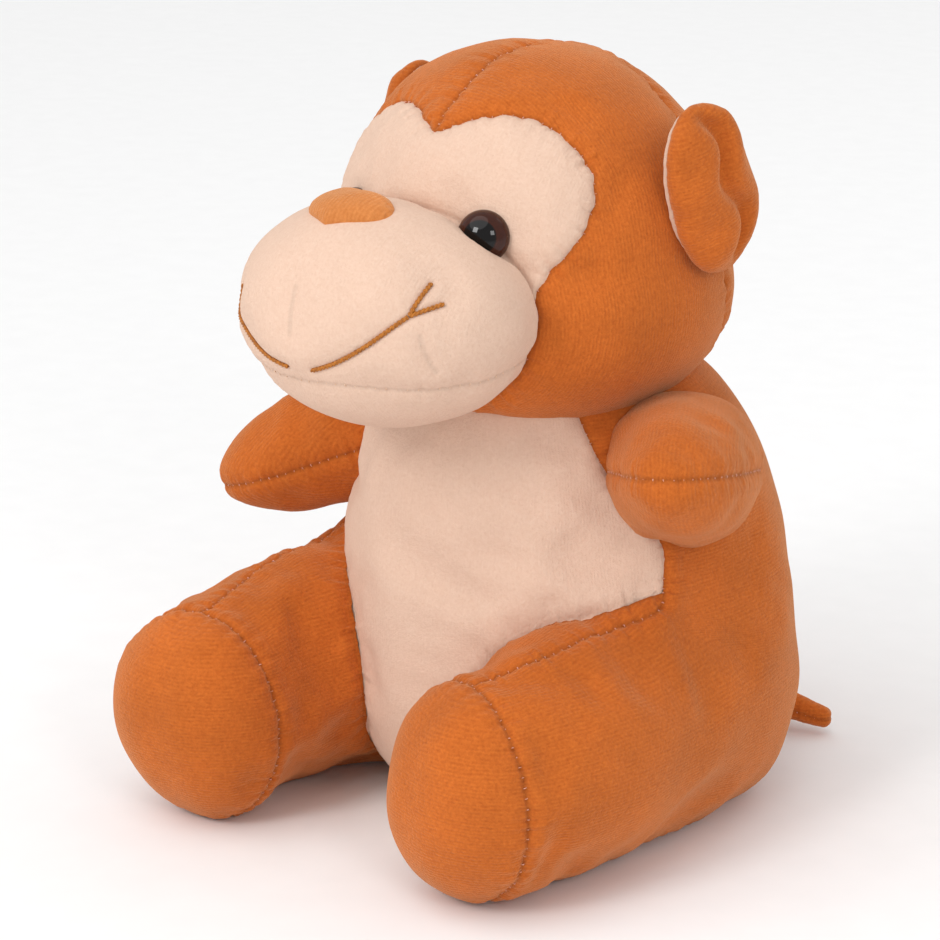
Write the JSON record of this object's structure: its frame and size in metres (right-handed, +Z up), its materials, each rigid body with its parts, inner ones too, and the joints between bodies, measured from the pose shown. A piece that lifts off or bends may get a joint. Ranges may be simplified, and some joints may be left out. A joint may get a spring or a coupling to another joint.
{
  "type": "stuffed monkey",
  "caption": "Seated plush monkey with a rounded head, big soft muzzle, round ears, stub arms held out, thick legs with sole panels and a short tail.",
  "frame": {"origin": "on the floor under the middle of the seat, where the belly panel's flat base rests", "axes": "the monkey faces -Y, its left side is +X, up is +Z"},
  "size_m": [0.1982, 0.2112, 0.2445],
  "materials": {
    "orange_plush": "short-pile knitted plush, orange-brown",
    "cream_plush": "short-pile knitted plush, cream",
    "fibre_filling": "loose white polyester fibre",
    "eye_plastic": "polished, dark brown ring round a black middle",
    "washer_plastic": "plain moulded",
    "mouth_thread": "golden brown embroidery thread",
    "seam_thread": "sewing thread"
  },
  "bodies": {
    "torso": {"belly_panel": "cream_plush", "torso_side_left": "orange_plush", "torso_side_right": "orange_plush", "torso_filling": "fibre_filling"},
    "neck": {"neck_filling": "fibre_filling", "neck_seam_thread": "seam_thread"},
    "head": {"face_mask": "cream_plush", "head_side_left": "orange_plush", "head_side_right": "orange_plush", "head_back": "orange_plush", "head_filling": "fibre_filling", "muzzle_upper": "cream_plush", "chin": "cream_plush", "muzzle_filling": "fibre_filling", "nose_patch": "orange_plush", "mouth_stitch_left": "mouth_thread", "mouth_stitch_right": "mouth_thread", "eye_left": "eye_plastic", "eye_right": "eye_plastic", "eye_washer_left": "washer_plastic", "eye_washer_right": "washer_plastic"},
    "ear_left": {"ear_front_left": "cream_plush", "ear_back_left": "orange_plush"},
    "ear_right": {"ear_front_right": "cream_plush", "ear_back_right": "orange_plush"},
    "arm_left": {"arm_upper_left": "orange_plush", "arm_lower_left": "orange_plush", "arm_filling_left": "fibre_filling"},
    "arm_right": {"arm_upper_right": "orange_plush", "arm_lower_right": "orange_plush", "arm_filling_right": "fibre_filling"},
    "leg_left": {"leg_outer_left": "orange_plush", "leg_inner_left": "orange_plush", "foot_sole_left": "orange_plush", "leg_filling_left": "fibre_filling"},
    "leg_right": {"leg_outer_right": "orange_plush", "leg_inner_right": "orange_plush", "foot_sole_right": "orange_plush", "leg_filling_right": "fibre_filling"},
    "tail": {"tail_upper": "orange_plush", "tail_lower": "orange_plush", "tail_filling": "fibre_filling"}
  },
  "joints": [
    {"name": "head_turn", "type": "hinge", "parent": "torso", "child": "neck", "pos_m": [0, 0.004, 0.137], "axis": [0, 0, 1], "range_deg": [-15, 15], "stiffness_Nm_per_rad": 1.2},
    {"name": "head_nod", "type": "hinge", "parent": "neck", "child": "head", "pos_m": [0, 0.004, 0.137], "axis": [1, 0, 0], "range_deg": [-6, 6], "stiffness_Nm_per_rad": 2},
    {"name": "arm_left_lift", "type": "hinge", "parent": "torso", "child": "arm_left", "pos_m": [0.05498, 0.004, 0.1165], "axis": [-0.7593, -0.6508, 0], "range_deg": [-22, 8], "stiffness_Nm_per_rad": 0.3},
    {"name": "arm_right_lift", "type": "hinge", "parent": "torso", "child": "arm_right", "pos_m": [-0.05498, 0.004, 0.1165], "axis": [-0.675, 0.7378, 0], "range_deg": [-2, 30], "stiffness_Nm_per_rad": 0.3},
    {"name": "leg_left_lift", "type": "hinge", "parent": "torso", "child": "leg_left", "pos_m": [0.0435, 0.017, 0.034], "axis": [-1, 0, 0], "range_deg": [-6, 10], "stiffness_Nm_per_rad": 1.2},
    {"name": "leg_right_lift", "type": "hinge", "parent": "torso", "child": "leg_right", "pos_m": [-0.0435, 0.017, 0.034], "axis": [-1, 0, 0], "range_deg": [-6, 10], "stiffness_Nm_per_rad": 1.2},
    {"name": "tail_swing", "type": "hinge", "parent": "torso", "child": "tail", "pos_m": [0, 0.085, 0.015], "axis": [0, 0, 1], "range_deg": [-6, 60], "stiffness_Nm_per_rad": 0.02},
    {"name": "ear_left_fold", "type": "hinge", "parent": "head", "child": "ear_left", "pos_m": [0.05871, -0.00154, 0.20805], "axis": [0, -0.4067, 0.9136], "range_deg": [-8, 15], "stiffness_Nm_per_rad": 0.05},
    {"name": "ear_right_fold", "type": "hinge", "parent": "head", "child": "ear_right", "pos_m": [-0.05651, 0.01837, 0.20212], "axis": [0, -0.0349, 0.9994], "range_deg": [-8, 8], "stiffness_Nm_per_rad": 0.05}
  ]
}
